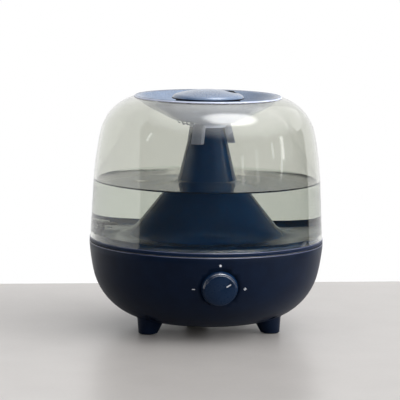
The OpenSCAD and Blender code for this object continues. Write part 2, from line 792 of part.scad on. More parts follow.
module tank_shell() color([0.75, 0.76, 0.74, 0.4]) {
    revolve(concat(
        [[tank_r - tank_wall - 0.01, tank_z]], tank_line(0),
        [[mouth_r + 0.4, rim_z], [mouth_r, rim_z - 0.4], [mouth_r, rim_in_z]],
        back(tank_line(tank_wall))
    ));
}

module tank_floor() color([0.11, 0.18, 0.27]) {
    difference() {
        union() {
            revolve(concat(
                tower_line(0),
                [
                    [lip_r - 2, tank_floor_z], [lip_r - 2, tank_floor_z + 2.6], [lip_r, tank_floor_z + 2.6],
                    [lip_r, tank_z], [band_r - 0.4, tank_z], [band_r, tank_z - 0.4],
                    [band_r, band_z + 0.4], [band_r - 0.4, band_z], [band_in_r, band_z],
                    [band_in_r, tank_z]
                ],
                back(tower_line(floor_wall))
            ));
            // Boss of the valve's guide
            at_valve() translate([0, 0, tank_z - floor_wall]) cylinder(r = 9, h = floor_wall + 0.5);
        }
        at_valve() difference() {
            translate([0, 0, tank_z - 6]) cylinder(r = valve_hole_r, h = 12);
            translate([0, 0, tank_z - 6]) cylinder(r = guide_r, h = 12);
            for (a = [0:120:240]) rotate([0, 0, a]) translate([0, -0.9, tank_z - 6]) cube([10, 1.8, 12]);
        }
        at_valve() translate([0, 0, tank_z - 6]) cylinder(r = stem_r + 0.3, h = 20);
    }
}

// ---- Valve ----

module valve_stem() color([0.9, 0.9, 0.92]) {
    at_valve() translate([0, 0, clip_z]) {
        cylinder(r = stem_r, h = stem_l);
        translate([0, 0, stem_l]) cylinder(r = 4.5, h = 1.2);
    }
}

module valve_seal() color([0.1, 0.1, 0.11]) {
    at_valve() translate([0, 0, tank_floor_z + valve_open]) tube(seal_disc_r, stem_r + press, seal_t);
}

// Coil: a small round section carried along a helix, end to end between two flats
module valve_spring() color([0.75, 0.75, 0.78]) {
    turns = 4;
    steps = 14 * turns;
    sides = 6;
    wire = 0.35;
    coil = guide_r + 0.9;
    low = clip_z + clip_t + wire + 0.1;
    high = tank_z - floor_wall - wire - 0.1;
    ring = [for (i = [0:steps]) let (a = 360 * turns * i / steps, z = low + (high - low) * i / steps)
        [for (k = [0:sides - 1]) let (b = 360 * k / sides)
            [(coil + wire * cos(b)) * cos(a), (coil + wire * cos(b)) * sin(a), z + wire * sin(b)]]];
    points = [for (r = ring, p = r) p];
    walls = [for (i = [0:steps - 1], k = [0:sides - 1]) let (n = (k + 1) % sides)
        [i * sides + k, (i + 1) * sides + k, (i + 1) * sides + n, i * sides + n]];
    ends = [[for (k = [0:sides - 1]) k], [for (k = [sides - 1:-1:0]) steps * sides + k]];
    at_valve() polyhedron(points = points, faces = concat(walls, ends), convexity = 8);
}

module valve_clip() color([0.9, 0.9, 0.92]) {
    at_valve() translate([0, 0, clip_z]) tube(clip_r, stem_r + press, clip_t);
}

// ---- Lid and mist cap ----

module lid_dish() color([0.13, 0.2, 0.36]) {
    difference() {
        union() {
            revolve(concat(
                [[mist_r, dish_low_z], [dish_low_r, dish_low_z]], dish_line(0),
                [[dish_r, lid_z], [lid_r, lid_z], [lid_r, lid_z + lip_t - 0.4]],
                [[lid_r - 0.4, lid_z + lip_t]],
                back(dish_line(lid_wall)),
                [[mist_r, dish_low_z + lid_wall]]
            ));
            translate([0, 0, dish_low_z + 1]) tube(neck_r, neck_in_r, neck_top_z - dish_low_z - 1);
            translate([0, 0, spigot_z]) tube(spigot_r, mist_r, dish_low_z - spigot_z + 1);
            intersection() {
                revolve([
                    [lug_low_r, lug_z], [lug_low_r + lug_t, lug_z],
                    [lug_high_r + lug_t, dish_low_z + 1.4], [lug_high_r, dish_low_z + 1]
                ]);
                around(lug_angles, 5) translate([0, -lug_w / 2, lug_z - 1]) cube([40, lug_w, 30]);
            }
        }
        // Slots that let water poured into the dish run down into the tank
        difference() {
            translate([0, 0, dish_low_z - 3]) tube(slot_r[1], slot_r[0], 20);
            for (a = [30, 90, 150]) rotate([0, 0, a])
                translate([-cap_r - 10, -3, dish_low_z - 5]) cube([2 * cap_r + 20, 6, 40]);
        }
    }
}

module mist_cap() color([0.15, 0.23, 0.42]) {
    difference() {
        revolve(concat(cap_line(0), back(cap_line(cap_wall))));
        rotate([0, 0, nozzle_angle]) translate([nozzle_place_r, 0, cap_z]) {
            for (y = [-1, 1]) translate([0, y * nozzle_run / 2, 0]) cylinder(r = nozzle_w / 2, h = 30);
            translate([-nozzle_w / 2, -nozzle_run / 2, 0]) cube([nozzle_w, nozzle_run, 30]);
        }
    }
}

module cap_core() color([0.12, 0.19, 0.34]) {
    spigot = neck_in_r - fit;
    wall = 1.5;
    translate([0, 0, cap_z]) {
        tube(core_r, spigot - wall, core_t);
        translate([0, 0, -8]) tube(spigot, spigot - wall, 9);
    }
}

base_shell();
foot_pads();
bottom_cover();
cover_screws();
base_tray();
air_duct();
tray_screws();
transducer_disc();
transducer_seal();
transducer_clamp();
clamp_screws();
driver_board();
board_parts();
heat_sink();
board_screws();
fan_frame();
fan_impeller();
fan_screws();
power_jack();
jack_nut();
potentiometer();
pot_nut();
pot_shaft();
control_knob();
knob_pointer();
indicator_lens();
indicator_led();
float_body();
float_magnet();
float_cap();
reed_switch();
tank_shell();
tank_floor();
valve_stem();
valve_seal();
valve_spring();
valve_clip();
lid_dish();
mist_cap();
cap_core();
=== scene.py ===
import math

import bmesh
import bpy
import numpy as np
from mathutils import Matrix, Vector


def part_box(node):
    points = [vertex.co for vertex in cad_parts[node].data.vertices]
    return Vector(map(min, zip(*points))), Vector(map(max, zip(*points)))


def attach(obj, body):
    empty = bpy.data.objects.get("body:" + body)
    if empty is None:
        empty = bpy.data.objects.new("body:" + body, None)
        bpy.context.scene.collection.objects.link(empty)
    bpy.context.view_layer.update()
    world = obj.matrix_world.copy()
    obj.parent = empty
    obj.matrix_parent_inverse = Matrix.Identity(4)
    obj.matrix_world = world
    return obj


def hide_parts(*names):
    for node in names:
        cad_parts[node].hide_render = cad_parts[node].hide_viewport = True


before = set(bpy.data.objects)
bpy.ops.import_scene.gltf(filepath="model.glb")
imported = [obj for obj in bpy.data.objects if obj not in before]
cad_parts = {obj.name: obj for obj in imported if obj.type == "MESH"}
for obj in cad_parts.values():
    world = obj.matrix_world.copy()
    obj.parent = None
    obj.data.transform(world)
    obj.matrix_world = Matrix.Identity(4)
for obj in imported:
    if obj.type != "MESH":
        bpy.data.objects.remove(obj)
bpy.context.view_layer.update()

bl_info = {
    "name": "Cool Mist Humidifier",
    "version": (1, 0, 0),
    "blender": (4, 5, 0),
    "location": "3D View > Sidebar > Humidifier",
    "description": "Finishes, water and small trim for a top-fill humidifier on its packed frame",
    "category": "Add Mesh",
}

MM = 0.001

# Lowest and highest corners of the carried-over parts, in metres
TANK_LOW, TANK_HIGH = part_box("tank_shell")
FLOOR_LOW, FLOOR_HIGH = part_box("tank_floor")
BOWL_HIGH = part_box("base_shell")[1]
KNOB_LOW, KNOB_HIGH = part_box("control_knob")
LID_LOW, LID_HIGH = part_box("lid_dish")
CAP_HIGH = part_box("mist_cap")[1]

# Height at which the film of water under the lid ends on the tower
FILM_FOOT = 195.5 * MM

# Refraction of the plastics and of water
ABS_IOR, SAN_IOR, WATER_IOR = 1.54, 1.5, 1.333

# Window strips of the studio: azimuth, lean, half width, lowest and highest elevation, in degrees
# except the lean, which is degrees of azimuth per degree of elevation, and brightness
WINDOWS = (
    (78, 0.2, 1.6, 6, 20, 4.0),
    (73.3, 0.55, 0.6, 1, 18, 2.5),
    (66, 0, 0.8, 8, 13, 2.5),
    (30, 0, 1.2, 2, 12, 1.2),
    (46, 0, 1.2, 2, 13, 1.0),
    (-75.5, 0, 0.8, 14, 30, 3.0),
    (133, 0, 20, 16, 44, 1.35),
)


# ---------------------------------------------------------------- sizes and colours

def length(name, text, default):
    """A size in metres, shown in the scene's length unit."""
    return bpy.props.FloatProperty(name=name, description=text, default=default, unit="LENGTH", precision=5)


def angle(name, text, degrees):
    """An angle, kept in radians and shown in degrees."""
    return bpy.props.FloatProperty(name=name, description=text, default=math.radians(degrees),
                                   subtype="ANGLE")


def hexcolour(name, text, default):
    """An sRGB colour as six hexadecimal digits."""
    return bpy.props.StringProperty(name=name, description=text, default=default)


class HumidifierTank(bpy.types.PropertyGroup):
    """Sizes of the clear tank and of the water in it"""
    wall: length("Wall", "Wall of the clear tank", 2.8 * MM)
    side_height: length("Side height", "Height of the straight, tapered side", 52.3 * MM)
    belly_height: length("Belly height", "Height of the belly above the side", 48.4 * MM)
    rim_radius: length("Rim radius", "Outside radius of the rim", 71.3 * MM)
    mouth_radius: length("Mouth radius", "Radius of the fill opening", 68.2 * MM)
    side_lean: angle("Side lean", "Lean of the straight side", 2.85)
    belly_lean: angle("Belly lean", "Lean at the top of the belly", 11.8)
    crown_lean: angle("Crown lean", "Lean of the crown at the rim", 74.4)
    floor_wall: length("Floor wall", "Wall of the tank's floor", 2.6 * MM)
    tower_radius: length("Tower radius", "Outside radius of the tower at its top", 16.3 * MM)
    tower_lean: angle("Tower lean", "Lean of the tower's upper cone", 13.5)
    flare_lean: angle("Flare lean", "Lean of the tower's lower cone", 30.3)
    flare_height: length("Flare height", "Height of the top of the lower cone above the floor", 34.7 * MM)
    bend_radius: length("Bend radius", "Radius of the bend between the cones", 73.8 * MM)
    foot_radius: length("Foot radius", "Radius of the fillet between tower and floor", 22 * MM)
    water_level: length("Water level", "Height of the water's surface", 142.3 * MM)
    meniscus: length("Meniscus", "How far the water climbs its walls", 2.2 * MM)
    meniscus_reach: length("Meniscus reach", "Distance at which that climb falls to a third", 2.2 * MM)


class HumidifierMarks(bpy.types.PropertyGroup):
    """Sizes of the printed marks on the bowl"""
    reach: length("Reach", "Distance of the minus and the plus from the knob's axis", 24 * MM)
    height: length("Height", "Height of the minus and the plus", 54.4 * MM)
    size: length("Size", "Length of one stroke", 2.9 * MM)
    stroke: length("Stroke", "Width of one stroke", 0.75 * MM)
    film: length("Film", "Thickness of the print", 0.06 * MM)


class HumidifierMist(bpy.types.PropertyGroup):
    """Place and size of the mist opening in the cap, and of the low lip behind it"""
    turn: angle("Turn", "Turn of the opening about the cap's axis", 5)
    reach: length("Reach", "Distance of the opening's middle from the cap's axis", 22 * MM)
    half_line: length("Half line", "Half of the opening's straight stretch", 2 * MM)
    radius: length("Radius", "Radius of the opening's round ends", 5.9 * MM)
    lip_wall: length("Lip wall", "Wall of the lip", 1.1 * MM)
    lip_low: length("Lip low", "Height of the lip's underside", 226 * MM)
    lip_high: length("Lip high", "Height of the lip's top at its ends", 227.5 * MM)
    lip_rise: length("Lip rise", "How much higher the lip's top is at its middle", 1.1 * MM)


class HumidifierColours(bpy.types.PropertyGroup):
    """Colours as sRGB hexadecimal values"""
    bowl: hexcolour("Bowl", "Satin navy of the bowl", "0c1a30")
    band: hexcolour("Band", "Gloss navy of the tank's floor and tower", "0c3258")
    # Rim is lighter than the bowl and the band, so that their top edges show a painted highlight as well as
    # their real gloss
    rim: hexcolour("Rim", "Polished edges of the bowl and the band", "34406c")
    lid: hexcolour("Lid", "Satin blue of the lid and the cap", "587499")
    # Covered is painted shade: a dark navy where the cap shades the dish, on the cap's rolled edge and
    # inside the mist opening
    covered: hexcolour("Covered", "Unlit navy under the cap and in the mist opening", "0b1626")
    knob: hexcolour("Knob", "Gloss navy of the knob", "0f2642")
    dew: hexcolour("Dew", "Fine mist on the underside of the lid", "d9e0fa")
    smoke: hexcolour("Smoke", "Tint of the clear tank", "e2e3dd")
    water: hexcolour("Water", "Tint of the water", "f4f8f6")
    tray: hexcolour("Tray", "Light grey of the water tray", "c4c6c9")
    floor: hexcolour("Floor", "Pale floor of the stage", "cfcbc8")
    floor_bounce: hexcolour("Floor bounce", "Tone of that floor to diffuse bounces", "4a4644")


class HumidifierStage(bpy.types.PropertyGroup):
    """Camera and floor of the stage"""
    azimuth: angle("Azimuth", "Turn of the camera about the object, from the front", -7)
    distance: length("Distance", "Level distance of the camera from the axis", 2.258)
    height: length("Height", "Height of the camera", 0.420)
    aim: length("Aim", "Height of the point the camera looks at", 0.1235)
    aside: length("Aside", "How far that point lies left of the axis", 6.4 * MM)
    roll: angle("Roll", "Roll of the camera", 0.8)
    focal: bpy.props.FloatProperty(name="Focal length", description="Focal length in millimetres",
                                   default=212.9)
    floor_back: length("Floor behind", "How far the floor runs on behind the object", 0.26)
    floor_front: length("Floor in front", "How far the floor runs on in front of the object", 0.45)


# ---------------------------------------------------------------- node helpers

def linear(code):
    """Linear colour of an sRGB hexadecimal value: the sRGB curve undone per channel."""
    srgb = np.array([int(code[i:i + 2], 16) for i in (0, 2, 4)]) / 255
    line = np.where(srgb <= 0.04045, srgb / 12.92, ((srgb + 0.055) / 1.055) ** 2.4)
    return (*map(float, line), 1.0)


def put(tree, kind, inputs=None, **settings):
    """Adds a node with its settings. An input takes a number, a colour or another node's socket."""
    node = tree.nodes.new(kind)
    for key, value in settings.items():
        setattr(node, key, value)
    for key, value in (inputs or {}).items():
        if isinstance(value, bpy.types.NodeSocket):
            tree.links.new(value, node.inputs[key])
        else:
            node.inputs[key].default_value = value
    return node


def new_material(name):
    """A material with an empty tree, its output and a Principled shader."""
    made = bpy.data.materials.new(name)
    made.use_nodes = True
    made.node_tree.nodes.clear()
    tree = made.node_tree
    shader = put(tree, "ShaderNodeBsdfPrincipled")
    put(tree, "ShaderNodeOutputMaterial", {"Surface": shader.outputs[0]})
    return made, tree, shader


def grain(tree, size_mm, detail, stretch=(1, 1, 1)):
    """Noise whose cells are size_mm across, on Object coordinates."""
    place = put(tree, "ShaderNodeTexCoord").outputs["Object"]
    if stretch != (1, 1, 1):
        place = put(tree, "ShaderNodeMapping", {"Vector": place, "Scale": stretch}).outputs[0]
    return put(tree, "ShaderNodeTexNoise",
               {"Vector": place, "Scale": 1 / (size_mm * MM), "Detail": detail}).outputs["Fac"]


def spread(tree, fac, low, high):
    """fac from 0.3..0.7 stretched to low..high."""
    return put(tree, "ShaderNodeMapRange", {"Value": fac, "From Min": 0.3, "From Max": 0.7,
                                            "To Min": low, "To Max": high}).outputs[0]


def two_tone(tree, fac, first, second):
    """Colour between two hexadecimal colours by fac."""
    ramp = put(tree, "ShaderNodeValToRGB", {"Fac": fac})
    ramp.color_ramp.elements[0].position = 0.35
    ramp.color_ramp.elements[1].position = 0.65
    ramp.color_ramp.elements[0].color = linear(first)
    ramp.color_ramp.elements[1].color = linear(second)
    return ramp.outputs["Color"]


def shade(code, factor):
    """A hexadecimal colour made darker or lighter by a factor on its sRGB digits."""
    return "".join(f"{min(255, round(int(code[i:i + 2], 16) * factor)):02x}" for i in (0, 2, 4))


def mottle(tree, shader, fac, colour, dark, light):
    """Base colour that runs from colour times dark to colour times light by fac."""
    tone = two_tone(tree, fac, shade(colour, dark), shade(colour, light))
    tree.links.new(tone, shader.inputs["Base Color"])


def roughen(tree, shader, fac, low, high):
    """Roughness that runs from low to high by fac."""
    tree.links.new(spread(tree, fac, low, high), shader.inputs["Roughness"])


def bump(tree, shader, fac, depth_mm):
    """Relief depth_mm deep from fac."""
    relief = put(tree, "ShaderNodeBump", {"Height": fac, "Distance": depth_mm * MM, "Strength": 1.0})
    tree.links.new(relief.outputs["Normal"], shader.inputs["Normal"])


def hold(shader, **values):
    """Values that are the same all over, set on the sockets themselves. Coat_Weight is Coat Weight."""
    for key, value in values.items():
        shader.inputs[key.replace("_", " ")].default_value = value


# ---------------------------------------------------------------- materials

def satin_abs(name, colour):
    """Moulded ABS from a spark-eroded tool: a fine even grain that spreads the light softly."""
    made, tree, shader = new_material(name)
    mottle(tree, shader, grain(tree, 14, 3), colour, 0.94, 1.06)
    # The real grain is about 0.05 mm; it is drawn at 0.5 mm so that it shows
    fine = grain(tree, 0.5, 4)
    roughen(tree, shader, fine, 0.36, 0.46)
    bump(tree, shader, fine, 0.012)
    # The grain swallows most of the mirror reflection
    hold(shader, IOR=ABS_IOR, Specular_IOR_Level=0.1)
    return made


def polished_abs(name, colour, rough, level=0.5, ior=ABS_IOR):
    """Moulded ABS from a polished tool: a gloss with the slow waves that the cooling skin leaves."""
    made, tree, shader = new_material(name)
    mottle(tree, shader, grain(tree, 22, 2), colour, 0.95, 1.05)
    roughen(tree, shader, grain(tree, 1.2, 3), rough * 0.8, rough * 1.25)
    bump(tree, shader, grain(tree, 9, 1), 0.01)
    hold(shader, IOR=ior, Specular_IOR_Level=level)
    return made


def wet_abs(colour):
    """Moulded ABS from a polished tool, dry above the water and wet below it. Under water the gloss
    almost goes and the colour deepens, because the step in refraction falls by that of water."""
    made, tree, shader = new_material("gloss_navy_abs_polished")
    mottle(tree, shader, grain(tree, 22, 2), colour, 0.95, 1.05)
    roughen(tree, shader, grain(tree, 1.2, 3), 0.13, 0.2)
    bump(tree, shader, grain(tree, 9, 1), 0.01)
    place = put(tree, "ShaderNodeTexCoord").outputs["Object"]
    height = put(tree, "ShaderNodeSeparateXYZ", {"Vector": place}).outputs["Z"]
    tank = bpy.context.scene.humidifier_tank
    middle = (TANK_LOW.z + tank.floor_wall + tank.water_level) / 2
    reach = tank.water_level - middle
    wet = put(tree, "ShaderNodeMath", {0: height, 1: middle, 2: reach}, operation="COMPARE").outputs[0]
    step = put(tree, "ShaderNodeMapRange", {"Value": wet, "To Min": ABS_IOR, "To Max": ABS_IOR / WATER_IOR})
    tree.links.new(step.outputs[0], shader.inputs["IOR"])
    return made


def satin_blue_abs(colour):
    """Moulded ABS with a fine satin: a broad, soft sheen that pales the blue at low angles."""
    made, tree, shader = new_material("satin_blue_abs_moulded")
    mottle(tree, shader, grain(tree, 20, 2), colour, 0.96, 1.04)
    fine = grain(tree, 0.6, 3)
    roughen(tree, shader, fine, 0.24, 0.32)
    bump(tree, shader, fine, 0.003)
    hold(shader, IOR=ABS_IOR, Coat_Weight=0.6, Coat_Roughness=0.18)
    return made


def dewy_abs(name, colour):
    """Blue ABS under a film of fine mist droplets: pale grey, with a wet soft gloss."""
    made, tree, shader = new_material(name)
    mottle(tree, shader, grain(tree, 16, 2), colour, 0.96, 1.03)
    roughen(tree, shader, grain(tree, 3, 3), 0.14, 0.22)
    bump(tree, shader, grain(tree, 1.0, 2), 0.004)
    hold(shader, IOR=ABS_IOR)
    return made


def smoke_san(colour):
    """Clear smoke SAN from a polished tool: sharp reflections, faint flow waves, a grey cast."""
    made, tree, shader = new_material("smoke_san_polished")
    haze = grain(tree, 6, 3)
    mottle(tree, shader, haze, colour, 0.995, 1.0)
    roughen(tree, shader, haze, 0.0, 0.02)
    bump(tree, shader, grain(tree, 26, 1, (1, 1, 0.35)), 0.02)
    hold(shader, Transmission_Weight=1.0, IOR=SAN_IOR)
    return made


def still_water(colour):
    """Still tap water: a mirror-like skin with long, very low ripples."""
    made, tree, shader = new_material("still_water")
    ripple = grain(tree, 34, 1)
    mottle(tree, shader, ripple, colour, 0.995, 1.0)
    bump(tree, shader, ripple, 0.03)
    hold(shader, Roughness=0.0, Transmission_Weight=1.0, IOR=WATER_IOR)
    return made


def clear_bead():
    """Water beads: clear, smooth and strongly curved."""
    made, tree, shader = new_material("water_bead")
    skin = grain(tree, 2, 1)
    tree.links.new(two_tone(tree, skin, "f6f9fa", "ffffff"), shader.inputs["Base Color"])
    bump(tree, shader, skin, 0.01)
    hold(shader, Roughness=0.0, Transmission_Weight=1.0, IOR=WATER_IOR)
    return made


def moulded(name, colour, rough, cell_mm=0.6, depth_mm=0.015):
    """Plain moulded plastic or rubber: a mottled tone and an even, fine grain."""
    made, tree, shader = new_material(name)
    mottle(tree, shader, grain(tree, 12, 3), colour, 0.93, 1.05)
    fine = grain(tree, cell_mm, 3)
    roughen(tree, shader, fine, rough * 0.85, rough * 1.15)
    bump(tree, shader, fine, depth_mm)
    hold(shader, IOR=1.5)
    return made


def metal(name, colour, rough, cell_mm, stretch=(1, 1, 1)):
    """Bare or plated metal: a bright reflection broken by its grain."""
    made, tree, shader = new_material(name)
    fine = grain(tree, cell_mm, 3, stretch)
    mottle(tree, shader, fine, colour, 0.88, 1.06)
    roughen(tree, shader, fine, rough * 0.7, rough * 1.3)
    bump(tree, shader, fine, 0.01)
    hold(shader, Metallic=1.0)
    return made


def solder_mask():
    """Glass-epoxy board under green mask: a gloss over a fine square weave and copper tracks."""
    made, tree, shader = new_material("board_green_mask")
    place = put(tree, "ShaderNodeTexCoord").outputs["Object"]
    track = put(tree, "ShaderNodeTexBrick",
                {"Vector": place, "Scale": 1 / (9 * MM), "Color1": linear("1d6a3a"),
                 "Color2": linear("17582f"), "Mortar": linear("2f8a52"), "Mortar Size": 0.06})
    tree.links.new(track.outputs["Color"], shader.inputs["Base Color"])
    roughen(tree, shader, grain(tree, 0.7, 1), 0.25, 0.4)
    bump(tree, shader, track.outputs["Fac"], 0.03)
    return made


def screen_print(name):
    """White screen-printed ink: matte, with a slightly uneven film."""
    made, tree, shader = new_material(name)
    film = grain(tree, 0.4, 3)
    tree.links.new(two_tone(tree, film, "d9dce6", "f2f4fa"), shader.inputs["Base Color"])
    roughen(tree, shader, film, 0.45, 0.6)
    return made


def pale_board(colour, bounce):
    """Pale studio board with a satin lacquer: it holds a soft shadow and a blurred gloss. Diffuse
    bounces see the darker bounce colour, so that the dark underside of the bowl stays dark."""
    made, tree, shader = new_material("pale_board_lacquered")
    seen = two_tone(tree, grain(tree, 60, 3), shade(colour, 0.99), shade(colour, 1.01))
    bounced = put(tree, "ShaderNodeLightPath").outputs["Is Diffuse Ray"]
    # Sockets 0, 6 and 7 of a colour mix are its factor and its two colours, and output 2 is its result
    both = put(tree, "ShaderNodeMix", {0: bounced, 6: seen, 7: linear(bounce)}, data_type="RGBA")
    tree.links.new(both.outputs[2], shader.inputs["Base Color"])
    roughen(tree, shader, grain(tree, 3, 2), 0.3, 0.36)
    return made


# ---------------------------------------------------------------- mesh helpers

def mesh_piece(name, points, faces, smooth=True):
    """Object at the origin from an array of points and an array of faces."""
    mesh = bpy.data.meshes.new(name)
    mesh.from_pydata(points.tolist(), [], faces.tolist())
    mesh.validate()
    mesh.update()
    if smooth:
        mesh.shade_smooth()
    made = bpy.data.objects.new(name, mesh)
    bpy.context.scene.collection.objects.link(made)
    return made


def ring_faces(rows, columns):
    """Quads of a grid of rows by columns that closes round its rows and its columns."""
    row = np.arange(rows)[:, None]
    column = np.arange(columns)[None, :]
    after_row, after_column = (row + 1) % rows, (column + 1) % columns
    corners = [row * columns + column, row * columns + after_column,
               after_row * columns + after_column, after_row * columns + column]
    return np.stack(corners, -1).reshape(-1, 4)


def turned(name, profile, steps):
    """Closed profile of (radius, height) pairs carried round the Z axis: (r cos a, r sin a, z)."""
    turn = np.linspace(0, 2 * np.pi, steps, endpoint=False)
    radius, height = profile[:, :1], profile[:, 1:]
    points = np.stack([radius * np.cos(turn), radius * np.sin(turn), height + 0 * turn], -1)
    made = mesh_piece(name, points.reshape(-1, 3), ring_faces(len(profile), steps))
    outward(made)
    return made


def outward(made):
    """Turns the faces of a closed mesh outward."""
    work = bmesh.new()
    work.from_mesh(made.data)
    bmesh.ops.recalc_face_normals(work, faces=work.faces)
    work.to_mesh(made.data)
    work.free()


def sharp(made, degrees=32):
    """Smooth shading that breaks at edges sharper than the angle."""
    made.data.shade_smooth()
    made.data.set_sharp_from_angle(angle=math.radians(degrees))


def smooth_copy(node):
    """Copy of a carried-over node with its doubles merged, shaded smoothly across its curved faces."""
    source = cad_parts[node]
    work = bmesh.new()
    work.from_mesh(source.data)
    bmesh.ops.remove_doubles(work, verts=work.verts, dist=1e-6)
    mesh = bpy.data.meshes.new("smooth_" + node)
    work.to_mesh(mesh)
    work.free()
    made = bpy.data.objects.new("smooth_" + node, mesh)
    bpy.context.scene.collection.objects.link(made)
    sharp(made)
    return made


def arc(centre, radius, first, last, steps):
    """Points of an arc about a centre, angles in radians."""
    sweep = np.linspace(first, last, steps)
    return np.stack([centre[0] + radius * np.cos(sweep), centre[1] + radius * np.sin(sweep)], -1)


def bezier(first, lead, follow, last, steps):
    """Points of a cubic Bezier curve through its first and last corner."""
    along = np.linspace(0, 1, steps)[:, None]
    back = 1 - along
    corners = [np.array(corner, float) for corner in (first, lead, follow, last)]
    return (back ** 3 * corners[0] + 3 * back ** 2 * along * corners[1]
            + 3 * back * along ** 2 * corners[2] + along ** 3 * corners[3])


def wear(made, finish):
    """The only material of a piece."""
    made.data.materials.clear()
    made.data.materials.append(finish)


def face_lists(made):
    """Normals of a mesh's faces, their middles and how far those lie from the axis, as arrays."""
    count = len(made.data.polygons)
    normal, middle = np.zeros((count, 3)), np.zeros((count, 3))
    made.data.polygons.foreach_get("normal", normal.ravel())
    made.data.polygons.foreach_get("center", middle.ravel())
    return normal, middle, np.hypot(middle[:, 0], middle[:, 1])


def second_material(made, finish, chosen):
    """Puts one more material on the chosen faces and leaves the others as they are."""
    index = np.zeros(len(made.data.polygons), np.int32)
    made.data.polygons.foreach_get("material_index", index)
    made.data.materials.append(finish)
    index[chosen] = len(made.data.materials) - 1
    made.data.polygons.foreach_set("material_index", index)


def rim(made, name, outside, above, width):
    """Polished edge on the faces that round from the outside of a part to its top, in the lighter rim
    colour, which paints the thin highlight such an edge catches from above.
    """
    normal, middle, radius = face_lists(made)
    second_material(made, polished_abs(name, bpy.context.scene.humidifier_colours.rim, 0.16, 1.0),
                    (radius > outside - width) & (middle[:, 2] > above) & (normal[:, 2] > 0.3))


def fit_out(made, body, slot, finish, *nodes):
    """Finish, body and the nodes that a new piece stands for; its slot argument is not used."""
    wear(made, finish)
    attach(made, body)
    if nodes:
        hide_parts(*nodes)


def dress(finish, *nodes):
    """Gives carried-over nodes their finish."""
    for node in nodes:
        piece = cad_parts[node]
        for place in piece.material_slots:
            place.material = finish


# ---------------------------------------------------------------- outlines

def tank_outline(inset):
    """Outside of the tank from its foot to its rim, moved inward by inset: a tapered side, the arc
    of the belly tangent to it, and the arc of the crown tangent to the belly."""
    tank = bpy.context.scene.humidifier_tank
    foot_r, foot_z = TANK_HIGH.x, TANK_LOW.z
    lean, belly_lean, crown_lean = tank.side_lean, tank.belly_lean, tank.crown_lean
    belly_r = tank.belly_height / (math.sin(belly_lean) - math.sin(lean))
    start = np.array([foot_r - tank.side_height * math.tan(lean), foot_z + tank.side_height])
    belly_c = start - belly_r * np.array([math.cos(lean), math.sin(lean)])
    join = belly_c + belly_r * np.array([math.cos(belly_lean), math.sin(belly_lean)])
    crown_r = (join[0] - tank.rim_radius) / (math.cos(belly_lean) - math.cos(crown_lean))
    crown_c = join - crown_r * np.array([math.cos(belly_lean), math.sin(belly_lean)])
    side_z = np.linspace(foot_z, start[1], 8)[:-1]
    side = np.stack([foot_r - (side_z - foot_z) * math.tan(lean) - inset / math.cos(lean), side_z], -1)
    belly = arc(belly_c, belly_r - inset, lean, belly_lean, 20)[:-1]
    crown = arc(crown_c, crown_r - inset, belly_lean, crown_lean, 40)
    return np.concatenate([side, belly, crown])


def tower_outline(inset):
    """Outside of the tower from the floor to its top, moved inward by inset: the fillet of its foot,
    the lower cone tangent to it, the arc of the bend, and the upper cone."""
    tank = bpy.context.scene.humidifier_tank
    floor_z, top_z = TANK_LOW.z + tank.floor_wall, FLOOR_HIGH.z
    lean, flare, bend_r, foot_r = tank.tower_lean, tank.flare_lean, tank.bend_radius, tank.foot_radius
    bend_z = floor_z + tank.flare_height + bend_r * (math.sin(flare) - math.sin(lean))
    bend_top_r = tank.tower_radius + (top_z - bend_z) * math.tan(lean)
    bend_c = np.array([bend_top_r + bend_r * math.cos(lean), bend_z + bend_r * math.sin(lean)])
    cone_z = floor_z + foot_r * (1 - math.sin(flare))
    cone_r = bend_c[0] - bend_r * math.cos(flare) + (floor_z + tank.flare_height - cone_z) * math.tan(flare)
    foot_c = np.array([cone_r + foot_r * math.cos(flare), floor_z + foot_r])
    foot = arc(foot_c, foot_r + inset, 1.5 * math.pi, math.pi + flare, 16)
    bend = arc(bend_c, bend_r + inset, math.pi + flare, math.pi + lean, 12)
    top = np.array([[tank.tower_radius - inset / math.cos(lean), top_z]])
    return np.concatenate([foot, bend, top])


def below(outline, level):
    """The part of a rising outline below a level, cut at the level."""
    kept = outline[outline[:, 1] < level]
    after = outline[len(kept)]
    share = (level - kept[-1][1]) / (after[1] - kept[-1][1])
    return np.vstack([kept, kept[-1] + share * (after - kept[-1])])


# ---------------------------------------------------------------- operators

class BuildOperator(bpy.types.Operator):
    """Base of the operators that build a piece"""
    bl_options = {"REGISTER", "UNDO"}


